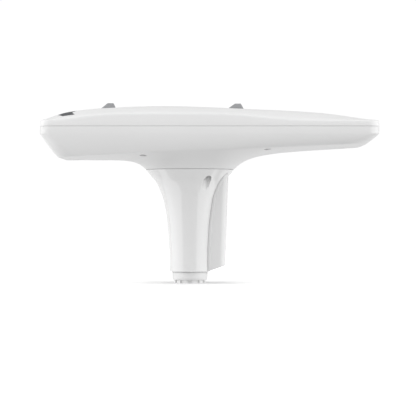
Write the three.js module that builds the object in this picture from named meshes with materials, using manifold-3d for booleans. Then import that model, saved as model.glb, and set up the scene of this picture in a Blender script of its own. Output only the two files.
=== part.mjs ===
// Satellite compass antenna for a boat: a long flat radome on a flared hollow stem, with a
// threaded swivel nut for a 1 inch - 14 antenna mast. Millimetres, +Z up, the bow towards -X.
// The origin is the centre of the foot's base, on the axis of the stem.
import * as THREE from "three";
import { mergeVertices } from "three/addons/utils/BufferGeometryUtils.js";
import Module from "manifold-3d";

const wasm = await Module();
wasm.setup();

// ---------------------------------------------------------------- driving dimensions

const GAP = 0.3; // clearance between touching pieces
const WALL = 3; // moulded wall of the housing

// Plan of the housing: distances from the stem's axis.
const BOW = 154;
const STERN = 196;
const HALF_WIDTH = 80;
const CORNER = 12.5;

// Heights of the housing.
const SEAM_Z = 164.1;
const WALL_FOOT_Z = 156.5; // the vertical wall ends here and the raked faces begin
const RAKE = { bow: 17, stern: 12, side: 9 }; // how far the raked faces lean in
const CREASE_CORNER = 23; // corner radius at the foot of the raked faces
const EDGE_R = 2; // rounding between the wall and the top

// Neck and stem.
const NECK_R = 47.2;
const NECK_Z = 121.2;
const NECK_FLOOR = 3.2;
const NECK_SLOPE = 1.05; // slope of the neck's fillet where it starts
const STEM_TOP_Z = NECK_Z - 0.4;
const STEM_FOOT_Z = 12.1;
const STEM_BORE_TOP_R = 30;

// Swivel nut and mast thread.
const FOOT_R = 19.05;
const RIM_R = 16.8;
const RIM_H = 3.2;
const SLEEVE_R = 16.9;
const SLEEVE_TOP_Z = 24.5;
const THREAD_R = 12.2; // pitch radius of the 1 inch - 14 thread
const NOTCHES = 12;

// Screws.
const STEM_SCREW_RING = 36.5;
const STEM_SCREW_ANGLES = [-60, 60, 180];
const STEM_SCREW_SEAT_Z = 117;
const HOUSING_SCREWS = [
  [-48, -59],
  [-48, 59],
  [81, -59],
  [81, 59],
  [-119, 0],
  [162, 0],
];
const HOUSING_SEAT = 5; // depth of a housing screw's seat above the underside
const CHASSIS_SCREWS = [
  [-96, -46],
  [-96, 46],
  [132, -46],
  [132, 46],
];

// Electronics.
const CHASSIS_Z = 157.7;
const CHASSIS_T = 2;
const BOARD_Z = 150;
const BOARD_T = 1.6;
const BOARD_HALF = [72, 36];
const BOARD_SPACERS = [
  [-66, -31],
  [-66, 31],
  [66, -31],
  [66, 31],
];
const BOW_ANTENNA_X = -82;
const STERN_ANTENNA_X = 124;
const ANTENNA_BOARD = 56;
const PATCH = 38;
const COAX_R = 1.3;

// Sights and bow arrows on the top.
const SIGHTS = { front_sight: -95.5, rear_sight: 40.8 };
const SIGHT = { length: 16.5, ramp: 7.4, flat: 6.2, height: 5.8, width: 4.4, tenon: 1.2 };
const ARROW = { tip: -137, wing: -131, tail: -118.5, notch: 4, at: 50, half: 17 };
const ARROW_DEPTH = 1;
const ARROW_PROUD = 0.1;
const ARROW_SIDES = { bow_arrow_port: -1, bow_arrow_starboard: 1 };

// Cable cover on the aft side of the stem.
const COVER_FRONT = 12;
const COVER_WALL = 2.4;
const COVER_CORNER = 7;
const COVER_LIP = { width: 2.6, depth: 0.7 }; // raised lip of the cover along the stem

// ---------------------------------------------------------------- finishes

const FINISH = {
  radome: { color: 0xf4f5f6, roughness: 0.28, metalness: 0 },
  housing: { color: 0xeceef0, roughness: 0.3, metalness: 0 },
  stem: { color: 0xeff0f2, roughness: 0.16, metalness: 0 },
  nut: { color: 0xd9dbde, roughness: 0.35, metalness: 0 },
  grey: { color: 0x9fa3a8, roughness: 0.45, metalness: 0 },
  dark: { color: 0x3b4046, roughness: 0.5, metalness: 0 },
  rubber: { color: 0x1c1d1f, roughness: 0.8, metalness: 0 },
  steel: { color: 0xb9bcc0, roughness: 0.3, metalness: 1 },
  brass: { color: 0xb5914a, roughness: 0.3, metalness: 1 },
  aluminium: { color: 0xc3c6ca, roughness: 0.4, metalness: 1 },
  board: { color: 0x1f5a38, roughness: 0.45, metalness: 0 },
  tin: { color: 0xc9cbcc, roughness: 0.25, metalness: 1 },
  ceramic: { color: 0xd8d2c2, roughness: 0.55, metalness: 0 },
  plastic: { color: 0x222427, roughness: 0.5, metalness: 0 },
  vent: { color: 0x5b5f64, roughness: 0.6, metalness: 0 },
};

// ---------------------------------------------------------------- solids

const antenna = new THREE.Group();

// A closed three.js geometry as a manifold-3d solid; a solid is passed on as it is.
function solid(shape) {
  if (!shape.isBufferGeometry) return shape;
  const bare = shape.clone();
  bare.deleteAttribute("normal");
  bare.deleteAttribute("uv");
  const merged = mergeVertices(bare, 1e-4);
  return new wasm.Manifold(
    new wasm.Mesh({
      numProp: 3,
      vertProperties: merged.attributes.position.array,
      triVerts: new Uint32Array(merged.index.array),
    }),
  );
}

const join = (...shapes) => shapes.map(solid).reduce((a, b) => a.add(b));
const cut = (shape, ...tools) => solid(shape).subtract(join(...tools));

// Adds one named piece to the antenna.
function piece(name, shape, finish, [x, y, z] = [0, 0, 0]) {
  const { vertProperties, triVerts } = solid(shape).getMesh();
  const geometry = new THREE.BufferGeometry();
  geometry.setAttribute("position", new THREE.BufferAttribute(vertProperties, 3));
  geometry.setIndex(new THREE.BufferAttribute(triVerts, 1));
  geometry.computeVertexNormals();
  const mesh = new THREE.Mesh(geometry, new THREE.MeshStandardMaterial(FINISH[finish]));
  mesh.name = name;
  mesh.position.set(x, y, z);
  antenna.add(mesh);
}

function block([x0, x1], [y0, y1], [z0, z1]) {
  return new THREE.BoxGeometry(x1 - x0, y1 - y0, z1 - z0).translate(
    (x0 + x1) / 2,
    (y0 + y1) / 2,
    (z0 + z1) / 2,
  );
}

function rod(radius, [z0, z1], [x, y] = [0, 0], sides = 16) {
  return new THREE.CylinderGeometry(radius, radius, z1 - z0, sides)
    .rotateX(Math.PI / 2)
    .translate(x, y, (z0 + z1) / 2);
}

// A turned body about Z. The profile is a closed loop of [radius, z], or runs from axis to axis.
function turned(profile, sides = 24) {
  const points = profile.map(([radius, z]) => new THREE.Vector2(radius, z));
  if (profile[0][0] > 0) points.push(points[0].clone());
  if (THREE.ShapeUtils.area(points) < 0) points.reverse();
  return new THREE.LatheGeometry(points, sides).rotateX(Math.PI / 2);
}

// A ring of rectangular section.
const ring = (inner, outer, [z0, z1], sides = 24) =>
  turned([[inner, z0], [outer, z0], [outer, z1], [inner, z1]], sides);

// A skin over rings of points listed counter-clockwise from above. The rings run from the top
// outwards, down, inwards and up. A ring of one point closes that end with a fan; a looped
// skin joins its last ring to its first.
function skin(rings, looped = false) {
  const position = rings.flat(2);
  const index = [];
  const starts = [];
  let count = 0;
  for (const r of rings) {
    starts.push(count);
    count += r.length;
  }
  const last = looped ? rings.length : rings.length - 1;
  for (let k = 0; k < last; k++) {
    const next = (k + 1) % rings.length;
    const [a, b] = [rings[k].length, rings[next].length];
    const n = Math.max(a, b);
    for (let i = 0; i < n; i++) {
      const j = (i + 1) % n;
      const [a0, a1] = [starts[k] + (i % a), starts[k] + (j % a)];
      const [b0, b1] = [starts[next] + (i % b), starts[next] + (j % b)];
      if (b > 1) index.push(a0, b0, b1);
      if (a > 1) index.push(a0, b1, a1);
    }
  }
  const geometry = new THREE.BufferGeometry();
  geometry.setAttribute("position", new THREE.Float32BufferAttribute(position, 3));
  return geometry.setIndex(index);
}

// Screw with a hexagon socket: the head is under z = 0 and the shank above it when `way` is 1,
// and the other way up when it is -1.
function screw({ headR, headH, shankR, length, socketR }, way = 1) {
  const side = [
    [0, -headH],
    [headR, -headH],
    [headR, 0],
    [shankR, 0],
    [shankR, length],
    [0, length],
  ];
  const body = turned(side.map(([radius, z]) => [radius, z * way]), 10);
  const socket = [-headH - 1, -headH * 0.4].map((z) => z * way);
  return cut(body, rod(socketR, [Math.min(...socket), Math.max(...socket)], [0, 0], 6));
}

// ---------------------------------------------------------------- surfaces of the housing

// A smooth height over x through a few points.
function heights(points) {
  const slopes = points.map((_, i) => {
    const [a, b] = [points[Math.max(i - 1, 0)], points[Math.min(i + 1, points.length - 1)]];
    return (b[1] - a[1]) / (b[0] - a[0]);
  });
  return (x) => {
    const after = points.findIndex(([px]) => px > x);
    const i = after < 0 ? points.length - 2 : Math.max(after - 1, 0);
    const [[x0, z0], [x1, z1]] = [points[i], points[i + 1]];
    const span = x1 - x0;
    const t = THREE.MathUtils.clamp((x - x0) / span, 0, 1);
    const rise = z0 + (z1 - z0) * t * t * (3 - 2 * t);
    return rise + span * t * (1 - t) * (slopes[i] * (1 - t) - slopes[i + 1] * t);
  };
}

const crown = heights([[-154, 171.5], [-139, 179.3], [-122, 183.2], [-96, 186], [-28, 188.5],
  [58, 185.6], [139, 181.2], [196, 172.2]]);
const shoulder = heights([[-154, 170.4], [-135, 171], [-98, 175.5], [-60, 177.2], [10, 177.2],
  [50, 176], [92, 172], [120, 170.6], [196, 170]]);
const crease = heights([[-137, 132.6], [-115, 133.6], [-48, 137.3], [30, 140.4], [86, 143.1],
  [184, 146.8]]);
const keel = heights([[-137, 132.8], [-110, 131.6], [-80, 131.5], [0, 135], [60, 138.3],
  [100, 140.5], [160, 143.8], [184, 146.2]]);

const topHeight = (x, y) => {
  const across = Math.min(Math.abs(y) / HALF_WIDTH, 1);
  return THREE.MathUtils.lerp(crown(x), shoulder(x), across ** 2.2);
};

const hullHeight = (x, y) => {
  const across = Math.min(Math.abs(y) / (HALF_WIDTH - RAKE.side), 1);
  return THREE.MathUtils.lerp(keel(x), crease(x), across ** 2);
};

// Distance from the stem's axis to the crease, in the direction of a point.
function reachOf(x, y) {
  const far = Math.hypot(x, y);
  const ahead = x < 0 ? BOW - RAKE.bow : STERN - RAKE.stern;
  return far * Math.min(ahead / Math.abs(x), (HALF_WIDTH - RAKE.side) / Math.abs(y));
}

// The underside: it leaves the neck at a fixed slope and flattens out to the hull at the crease.
const underHeight = (x, y) => {
  const rise = hullHeight(x, y) - NECK_Z;
  const out = Math.max(Math.hypot(x, y) - NECK_R, 0);
  const whole = Math.max(reachOf(x, y) - NECK_R, 1);
  const bend = ((NECK_SLOPE * whole) / rise - 1) / whole ** 1.2;
  return NECK_Z + Math.min((NECK_SLOPE * out) / (1 + bend * out ** 1.2), rise);
};

// Points round a rectangle with rounded corners, always the same number in the same order: four
// corner arcs, two long sides and two ends.
const ARC_STEPS = 3;
const SIDE_STEPS = 10;
const END_STEPS = 4;

function outline(toBow, toStern, toSide, radius) {
  const [bow, stern, half] = [radius - toBow, toStern - radius, toSide - radius];
  const first = Math.atan((BOW - CORNER) / HALF_WIDTH);
  const last = Math.atan((STERN - CORNER) / HALF_WIDTH);
  const points = [];
  const corner = (x, y, from) => {
    for (let i = 0; i <= ARC_STEPS; i++) {
      const angle = from + (Math.PI / 2) * (i / ARC_STEPS);
      points.push([x + radius * Math.cos(angle), y + radius * Math.sin(angle)]);
    }
  };
  // Share of the side's length, spaced so that the points seen from the stem's axis are even.
  const share = (i) => {
    const angle = THREE.MathUtils.lerp(-first, last, i / SIDE_STEPS);
    return (Math.tan(angle) + Math.tan(first)) / (Math.tan(last) + Math.tan(first));
  };
  corner(bow, -half, Math.PI);
  for (let i = 1; i < SIDE_STEPS; i++) {
    points.push([THREE.MathUtils.lerp(bow, stern, share(i)), -half - radius]);
  }
  corner(stern, -half, -Math.PI / 2);
  for (let i = 1; i < END_STEPS; i++) {
    points.push([stern + radius, THREE.MathUtils.lerp(-half, half, i / END_STEPS)]);
  }
  corner(stern, half, 0);
  for (let i = SIDE_STEPS - 1; i > 0; i--) {
    points.push([THREE.MathUtils.lerp(bow, stern, share(i)), half + radius]);
  }
  corner(bow, half, Math.PI / 2);
  for (let i = END_STEPS - 1; i > 0; i--) {
    points.push([bow - radius, THREE.MathUtils.lerp(-half, half, i / END_STEPS)]);
  }
  return points;
}

// The plan of the wall, set in by `inset` all round.
const plan = (inset) =>
  outline(BOW - inset, STERN - inset, HALF_WIDTH - inset, Math.max(CORNER - inset, 4));

// The plan of the crease, set in by `inset` all round.
const creasePlan = (inset) =>
  outline(BOW - RAKE.bow - inset, STERN - RAKE.stern - inset, HALF_WIDTH - RAKE.side - inset,
    CREASE_CORNER);

const level = (inset, z) => plan(inset).map(([x, y]) => [x, y, z]);

// ---------------------------------------------------------------- upper radome

const PLAN_CENTRE = (STERN - BOW) / 2;
const TOP_RINGS = [0.35, 0.62, 0.82, 0.94];

// Rings over the top, a plan shrunk towards its centre, `depth` under the outer surface.
function topRings(inset, depth) {
  const ringAt = (share) =>
    plan(inset).map(([px, py]) => {
      const [x, y] = [PLAN_CENTRE + (px - PLAN_CENTRE) * share, py * share];
      return [x, y, topHeight(x, y) - depth];
    });
  return [[[PLAN_CENTRE, 0, topHeight(PLAN_CENTRE, 0) - depth]], ...TOP_RINGS.map(ringAt)];
}

// The rounded edge between the top and the wall: `turn` 0 is on the wall and 1 on the top.
function edgeRing(turn) {
  const inset = EDGE_R * (1 - Math.cos((turn * Math.PI) / 2));
  const drop = EDGE_R * (1 - Math.sin((turn * Math.PI) / 2));
  return plan(inset).map(([x, y]) => [x, y, topHeight(x, y) - drop]);
}

const postTop = ([x, y]) => topHeight(x, y) - WALL / 2;
const seatOf = ([x, y]) => underHeight(x, y) + HOUSING_SEAT;
const columnTop = (at) => Math.max(BOARD_Z, seatOf(at) + 4);

function upperRadome() {
  const rim = SEAM_Z + GAP;
  const shell = skin([
    ...topRings(0, 0),
    edgeRing(1),
    edgeRing(0.5),
    edgeRing(0),
    level(0, rim),
    level(WALL + 0.6, rim),
    plan(WALL + 0.6).map(([x, y]) => [x, y, topHeight(x, y) - WALL - 2]),
    ...topRings(WALL + 0.6, WALL).reverse(),
  ]);
  const posts = HOUSING_SCREWS.map((at) => rod(4.6, [columnTop(at) + GAP, postTop(at)], at, 10));
  const pilots = HOUSING_SCREWS.map((at) => {
    const foot = columnTop(at) - 1;
    return rod(2.3, [foot, foot + 15], at, 8);
  });
  const pockets = Object.values(SIGHTS).map(sightPocket);
  pockets.push(...Object.values(ARROW_SIDES).map(arrowPocket));
  return cut(join(shell, ...posts), ...pilots, ...pockets);
}

// Side view of a sight: a long ramp towards the bow, a flat top and a steep aft end.
function sight(front) {
  const foot = Math.min(topHeight(front, 0), topHeight(front + SIGHT.length, 0)) - SIGHT.tenon;
  const crest = topHeight(front + SIGHT.length / 2, 0) + SIGHT.height;
  const rise = topHeight(front, 0) + 0.3;
  const side = new THREE.Shape([
    new THREE.Vector2(front, foot),
    new THREE.Vector2(front + SIGHT.length, foot),
    new THREE.Vector2(front + SIGHT.length, rise),
    new THREE.Vector2(front + SIGHT.ramp + SIGHT.flat, crest),
    new THREE.Vector2(front + SIGHT.ramp, crest),
    new THREE.Vector2(front, rise),
  ]);
  return new THREE.ExtrudeGeometry(side, { depth: SIGHT.width, bevelEnabled: false })
    .translate(0, 0, -SIGHT.width / 2)
    .rotateX(Math.PI / 2);
}

function sightPocket(front) {
  const foot = Math.min(topHeight(front, 0), topHeight(front + SIGHT.length, 0)) - SIGHT.tenon;
  const half = SIGHT.width / 2 + GAP;
  return block([front - GAP, front + SIGHT.length + GAP], [-half, half], [foot - GAP, foot + 9]);
}

// Moves every edge of a counter-clockwise outline outwards by `grow`.
function grown(points, grow) {
  return points.map(([x, y], i) => {
    const [px, py] = points.at(i - 1);
    const [nx, ny] = points[(i + 1) % points.length];
    const before = new THREE.Vector2(y - py, px - x).normalize();
    const after = new THREE.Vector2(ny - y, x - nx).normalize();
    const move = before.clone().add(after).multiplyScalar(grow / (1 + before.dot(after)));
    return [x + move.x, y + move.y];
  });
}

// Upright prism over one arrow, on the side of the centreline that `side` gives.
function arrowPrism(side, grow) {
  const { tip, wing, tail, notch, at, half } = ARROW;
  const port = [[tip, 0], [wing, -half], [tail, -half]];
  const corners = grown([...port, [tail - notch, 0], [tail, half], [wing, half]], grow);
  const outline = new THREE.Shape(corners.map(([x, y]) => new THREE.Vector2(x, side * at + y)));
  return new THREE.ExtrudeGeometry(outline, { depth: 40, bevelEnabled: false })
    .translate(0, 0, SEAM_Z + 4);
}

// Everything of the radome deeper than `depth` under its top.
function underTop(depth) {
  const foot = SEAM_Z + 2;
  return skin([...topRings(0, depth), level(0, foot), [[PLAN_CENTRE, 0, foot]]]);
}

const arrowPocket = (side) => cut(arrowPrism(side, GAP), underTop(ARROW_DEPTH + GAP));

function bowArrow(side) {
  const flush = solid(arrowPrism(side, 0)).intersect(solid(underTop(-ARROW_PROUD)));
  return cut(flush, underTop(ARROW_DEPTH));
}

// ---------------------------------------------------------------- lower housing

// The raked faces, from the wall's foot (0) to the crease (1): nearly straight at the ends and
// bowed outwards along the sides.
function rakeRing(share) {
  const inSide = RAKE.side * (0.25 * share + 0.75 * share ** 2);
  const bent = THREE.MathUtils.lerp(share, Math.sin((share * Math.PI) / 2), 0.2);
  const ring = outline(
    BOW - RAKE.bow * share,
    STERN - RAKE.stern * share,
    HALF_WIDTH - inSide,
    THREE.MathUtils.lerp(CORNER, CREASE_CORNER, share),
  );
  return creasePlan(0).map(([cx, cy], i) => {
    const [x, y] = ring[i];
    return [x, y, THREE.MathUtils.lerp(WALL_FOOT_Z, underHeight(cx, cy), bent)];
  });
}

// Rings between the neck (0) and the crease (1), `lift` above the underside.
function underRing(share, neckR, inset, lift) {
  return creasePlan(inset).map(([cx, cy]) => {
    const reach = Math.hypot(cx, cy);
    const radius = THREE.MathUtils.lerp(neckR, reach, share);
    const [x, y] = [(cx * radius) / reach, (cy * radius) / reach];
    return [x, y, underHeight(x, y) + lift];
  });
}

function circleRing(radius, z) {
  return creasePlan(0).map(([x, y]) => {
    const reach = Math.hypot(x, y);
    return [(x * radius) / reach, (y * radius) / reach, z];
  });
}

const CONNECTOR_R = 7.9;
const VENT_AT = [0, 21];
const stemScrewAt = (degrees) => {
  const angle = THREE.MathUtils.degToRad(degrees);
  return [STEM_SCREW_RING * Math.cos(angle), STEM_SCREW_RING * Math.sin(angle)];
};
const INSERT_TOP = 130.5;

function lowerHousing() {
  const rim = SEAM_Z - GAP;
  const [grooveOut, grooveIn, grooveFoot] = [1.2, 2.9, rim - 1.4];
  const innerEdge = WALL + 0.6;
  const shell = skin(
    [
      level(0, rim),
      ...[0, 0.4, 0.75, 1].map(rakeRing),
      ...[0.6, 0.3, 0.13, 0.05, 0].map((share) => underRing(share, NECK_R, 0, 0)),
      circleRing(CONNECTOR_R + GAP, NECK_Z),
      circleRing(CONNECTOR_R + GAP, NECK_Z + NECK_FLOOR),
      circleRing(NECK_R - WALL, NECK_Z + NECK_FLOOR),
      ...[0.25, 1].map((share) => underRing(share, NECK_R - WALL, 3, 3.6)),
      level(innerEdge, WALL_FOOT_Z),
      level(innerEdge, rim),
      level(grooveIn, rim),
      level(grooveIn, grooveFoot),
      level(grooveOut, grooveFoot),
      level(grooveOut, rim),
    ],
    true,
  );
  const floorAt = ([x, y]) => underHeight(x, y) + 1;
  const columns = HOUSING_SCREWS.map((at) => rod(5.6, [floorAt(at) + 1, columnTop(at)], at, 10));
  const pads = CHASSIS_SCREWS.map((at) => rod(5, [floorAt(at) + 1, CHASSIS_Z - GAP], at, 10));
  const bossSpan = [NECK_Z + 1, INSERT_TOP + 1.5];
  const bosses = STEM_SCREW_ANGLES.map((a) => rod(6.4, bossSpan, stemScrewAt(a), 12));
  const tools = [
    ...HOUSING_SCREWS.map((at) => rod(3.65, [seatOf(at) - 20, seatOf(at)], at)),
    ...HOUSING_SCREWS.map((at) => rod(2.3, [seatOf(at) - 1, columnTop(at) + 1], at, 8)),
    ...CHASSIS_SCREWS.map((at) => rod(2.1, [CHASSIS_Z - 10, CHASSIS_Z + 1], at, 8)),
    ...STEM_SCREW_ANGLES.map((a) => rod(3.9, [NECK_Z - 1, INSERT_TOP + GAP], stemScrewAt(a))),
    rod(3.3, [NECK_Z - 1, NECK_Z + NECK_FLOOR + 1], VENT_AT),
  ];
  return cut(join(shell, ...columns, ...pads, ...bosses), ...tools);
}

function housingSeal() {
  const [outer, inner] = [1.5, 2.6];
  const [foot, top] = [SEAM_Z - GAP - 1.1, SEAM_Z];
  return skin([level(outer, top), level(outer, foot), level(inner, foot), level(inner, top)], true);
}

piece("upper_radome", upperRadome(), "radome");
piece("lower_housing", lowerHousing(), "housing");
piece("housing_seal", housingSeal(), "rubber");
for (const [name, front] of Object.entries(SIGHTS)) piece(name, sight(front), "grey");
for (const [name, side] of Object.entries(ARROW_SIDES)) piece(name, bowArrow(side), "dark");

const HOUSING_SCREW = { headR: 3.25, headH: 2.6, shankR: 1.9, length: 13, socketR: 1.6 };
HOUSING_SCREWS.forEach((at, i) => {
  const place = [...at, seatOf(at) - GAP];
  piece(`housing_screw_${i + 1}`, screw(HOUSING_SCREW), "steel", place);
});

// ---------------------------------------------------------------- electronics

function chassisPlate() {
  const plate = new THREE.Shape();
  const [x0, x1, half, r] = [-112, 152, 52, 10];
  plate.absarc(x1 - r, half - r, r, 0, Math.PI / 2);
  plate.absarc(x0 + r, half - r, r, Math.PI / 2, Math.PI);
  plate.absarc(x0 + r, r - half, r, Math.PI, 1.5 * Math.PI);
  plate.absarc(x1 - r, r - half, r, 1.5 * Math.PI, 2 * Math.PI);
  const hole = ([x, y], radius) => {
    const path = new THREE.Path();
    path.absarc(x, y, radius, 0, 2 * Math.PI, true);
    plate.holes.push(path);
  };
  for (const at of CHASSIS_SCREWS) hole(at, 2.3);
  for (const y of [-10, 10]) hole([0, y], 4);
  return new THREE.ExtrudeGeometry(plate, { depth: CHASSIS_T, bevelEnabled: false, curveSegments: 3 })
    .translate(0, 0, CHASSIS_Z);
}

// A box standing `gap` above the surface at z, centred on x and y.
const part = ([x, y], [length, width, height], z) =>
  block([x - length / 2, x + length / 2], [y - width / 2, y + width / 2], [z + GAP, z + GAP + height]);

const BOARD_TOP = BOARD_Z + BOARD_T;
const CHASSIS_TOP = CHASSIS_Z + CHASSIS_T;
const ANTENNA_BOARD_TOP = CHASSIS_TOP + GAP + BOARD_T;

// A lead of round section along a smooth route.
function lead(route, radius, steps) {
  const path = new THREE.CatmullRomCurve3(route.map((p) => new THREE.Vector3(...p)));
  const section = new THREE.Shape();
  section.absarc(0, 0, radius, 0, 2 * Math.PI);
  return new THREE.ExtrudeGeometry(section, {
    extrudePath: path,
    steps,
    curveSegments: 4,
    bevelEnabled: false,
  });
}

piece("chassis_plate", chassisPlate(), "aluminium");
const CHASSIS_SCREW = { headR: 3.4, headH: 2.4, shankR: 1.7, length: 8, socketR: 1.5 };
CHASSIS_SCREWS.forEach((at, i) => {
  piece(`chassis_screw_${i + 1}`, screw(CHASSIS_SCREW, -1), "steel", [...at, CHASSIS_TOP + GAP]);
});

const [halfX, halfY] = BOARD_HALF;
const board = block([-halfX, halfX], [-halfY, halfY], [BOARD_Z, BOARD_TOP]);
piece("main_board", cut(board, rod(9, [BOARD_Z - 1, BOARD_TOP + 1])), "board");
BOARD_SPACERS.forEach((at, i) => {
  const spacer = rod(2.8, [BOARD_TOP + GAP, CHASSIS_Z - GAP], at, 6);
  piece(`board_spacer_${i + 1}`, spacer, "brass");
});
piece("receiver_shield", part([-34, 0], [44, 40, 4.6], BOARD_TOP), "tin");
piece("inertial_sensor", part([34, 14], [22, 22, 4.4], BOARD_TOP), "dark");
piece("board_header", block([19, 31], [-8, 8], [138.5, BOARD_Z - GAP]), "plastic");

for (const [end, x, y] of [["bow", BOW_ANTENNA_X, 10], ["stern", STERN_ANTENNA_X, -10]]) {
  const size = [ANTENNA_BOARD, ANTENNA_BOARD, BOARD_T];
  const inboard = x - Math.sign(x) * (ANTENNA_BOARD / 2 - 4);
  const plug = part([inboard, y], [7, 6, 3], ANTENNA_BOARD_TOP);
  const leadZ = ANTENNA_BOARD_TOP + GAP + 1.5;
  const start = inboard - Math.sign(x) * (3.5 + GAP);
  const towards = Math.sign(x) * 6;
  piece(`${end}_antenna_board`, part([x, 0], size, CHASSIS_TOP), "board");
  piece(`${end}_patch`, part([x, 0], [PATCH, PATCH, 6], ANTENNA_BOARD_TOP), "ceramic");
  piece(`${end}_coax_plug`, plug, "tin");
  piece(`${end}_coax_socket`, part([0, y], [5, 5, 2.2], BOARD_TOP), "tin");
  const route = [
    [start, y, leadZ],
    [start - towards, y, leadZ],
    [towards * 3, y, leadZ - 0.5],
    [towards, y, leadZ - 0.5],
    [0, y, CHASSIS_TOP],
    [0, y, BOARD_TOP + 2 * GAP + 2.2],
  ];
  piece(`${end}_coax_lead`, lead(route, COAX_R, 14), "plastic");
}

// ---------------------------------------------------------------- data connector and vent

const CONNECTOR_FOOT = 106;
const FLANGE_Z = NECK_Z - 1.6;

// Threaded shell with a flange under the neck floor, open below for the plug.
function connectorShell() {
  return turned([
    [5.6, CONNECTOR_FOOT],
    [7.2, CONNECTOR_FOOT],
    [7.2, FLANGE_Z - 3],
    [11, FLANGE_Z - 3],
    [11, FLANGE_Z],
    [CONNECTOR_R, FLANGE_Z],
    [CONNECTOR_R, 131],
    [5.6, 131],
  ], 16);
}

// Round carrier with five pins.
function connectorPins() {
  const carrier = rod(5.2, [CONNECTOR_FOOT + 7, 130], [0, 0], 12);
  const pins = [0, 1, 2, 3, 4].map((i) => {
    const angle = (i * 2 * Math.PI) / 5;
    const at = [3 * Math.cos(angle), 3 * Math.sin(angle)];
    return rod(0.7, [CONNECTOR_FOOT + 1.5, CONNECTOR_FOOT + 8], at, 6);
  });
  return join(carrier, ...pins);
}

piece("data_connector", connectorShell(), "brass");
piece("connector_pins", connectorPins(), "plastic");
piece("connector_seal", ring(CONNECTOR_R + GAP, 10.4, [FLANGE_Z + GAP, NECK_Z - GAP]), "rubber");
const NUT_Z = NECK_Z + NECK_FLOOR + GAP;
const nutBlank = rod(11.4, [NUT_Z, NUT_Z + 4], [0, 0], 6);
const nutBore = rod(CONNECTOR_R + GAP, [NUT_Z - 1, NUT_Z + 5], [0, 0], 16);
piece("connector_nut", cut(nutBlank, nutBore), "brass");
const harness = [
  [0, 0, 131 + GAP],
  [0, 0, 136],
  [3, 0, 140.5],
  [9, 0, 143],
  [19 - GAP, 0, 143.5],
];
piece("harness", lead(harness, 2.6, 8), "plastic");

// Mushroom-shaped vent pushed up into the neck floor.
function breatherVent() {
  return turned([
    [0, NECK_Z - 2.6],
    [4.4, NECK_Z - 2.6],
    [5, NECK_Z - 2],
    [5, NECK_Z - GAP],
    [3, NECK_Z - GAP],
    [3, NECK_Z + NECK_FLOOR + 0.5],
    [0, NECK_Z + NECK_FLOOR + 0.5],
  ], 16);
}
piece("breather_vent", breatherVent(), "vent", [...VENT_AT, 0]);

// ---------------------------------------------------------------- stem

// Outer radius of the stem, from its foot up to the neck.
const STEM_PROFILE = [
  [21.8, STEM_FOOT_Z],
  [22, 35],
  [23.2, 56],
  [24.4, 69],
  [26.4, 81],
  [29, 91.5],
  [32.2, 99.5],
  [36.5, 107.8],
  [42.2, 115.2],
  [NECK_R - 0.4, STEM_TOP_Z],
];
const STEM_SIDES = 32;
const LEDGE_Z = 20;
const WINDOW = { half: 9, z: [34, 92] };

// The outer shape of the stem grown by `extra`, solid, for cutting what lies against it.
function stemEnvelope(extra) {
  const side = STEM_PROFILE.map(([r, z]) => [r + extra, z]);
  return turned([[0, STEM_FOOT_Z - 20], [side[0][0], STEM_FOOT_Z - 20], ...side,
    [NECK_R + 8, STEM_TOP_Z + 8], [0, STEM_TOP_Z + 8]], STEM_SIDES);
}

const GASKET = { inner: 40.6, outer: 42.4, depth: 1.6 };

function stemShell() {
  const groove = STEM_TOP_Z - GASKET.depth;
  const body = turned(
    [
      ...STEM_PROFILE,
      [GASKET.outer + GAP, STEM_TOP_Z],
      [GASKET.outer + GAP, groove],
      [GASKET.inner - GAP, groove],
      [GASKET.inner - GAP, STEM_TOP_Z],
      [STEM_BORE_TOP_R, STEM_TOP_Z],
      [STEM_BORE_TOP_R, 103],
      [26, 92],
      [22.5, 78],
      [19.8, 60],
      [19, 44],
      [19, LEDGE_Z],
      [SLEEVE_R + GAP, LEDGE_Z],
      [SLEEVE_R + GAP, STEM_FOOT_Z],
    ],
    STEM_SIDES,
  );
  const tools = STEM_SCREW_ANGLES.flatMap((a) => [
    rod(4.65, [85, STEM_SCREW_SEAT_Z], stemScrewAt(a), 20),
    rod(2.8, [STEM_SCREW_SEAT_Z - 1, STEM_TOP_Z + 1], stemScrewAt(a), 12),
  ]);
  const window = block([10, 45], [-WINDOW.half, WINDOW.half], WINDOW.z);
  return cut(body, window, ...tools);
}

piece("stem_shell", stemShell(), "stem");
const gasketZ = [STEM_TOP_Z - GASKET.depth + GAP, NECK_Z - GAP];
piece("neck_gasket", ring(GASKET.inner, GASKET.outer, gasketZ, STEM_SIDES), "rubber");

const STEM_SCREW = { headR: 4.2, headH: 2.8, shankR: 2.4, length: 11, socketR: 2 };
STEM_SCREW_ANGLES.forEach((a, i) => {
  const at = stemScrewAt(a);
  piece(`stem_screw_${i + 1}`, screw(STEM_SCREW), "steel", [...at, STEM_SCREW_SEAT_Z - GAP]);
  const insert = ring(2.8, 3.6, [NECK_Z + 0.6, INSERT_TOP], 10);
  piece(`stem_insert_${i + 1}`, insert, "brass", [...at, 0]);
});

// ---------------------------------------------------------------- cable cover

const coverRear = heights([[12, 38], [60, 39], [118, 41]]);
const coverHalf = heights([[12, 10.9], [55, 12], [80, 13.4], [98, 17], [118, 21]]);
const COVER_LEVELS = [5, 40, 70, 84, 95, 106, 118];

// Section of the cover at height z: straight sides, set in further by `recess`, and a rounded
// rear edge.
function coverSection(z, inset, front, recess) {
  const [rear, half] = [coverRear(z) - inset, coverHalf(z) - inset - recess];
  const radius = COVER_CORNER - inset;
  const points = [[front, half, z], [front, -half, z]];
  for (const side of [-1, 1]) {
    for (let i = 0; i <= 4; i++) {
      const angle = (side < 0 ? -Math.PI / 2 : 0) + (Math.PI / 8) * i;
      points.push([
        rear - radius + radius * Math.cos(angle),
        side * (half - radius) + radius * Math.sin(angle),
        z,
      ]);
    }
  }
  return points;
}

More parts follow.
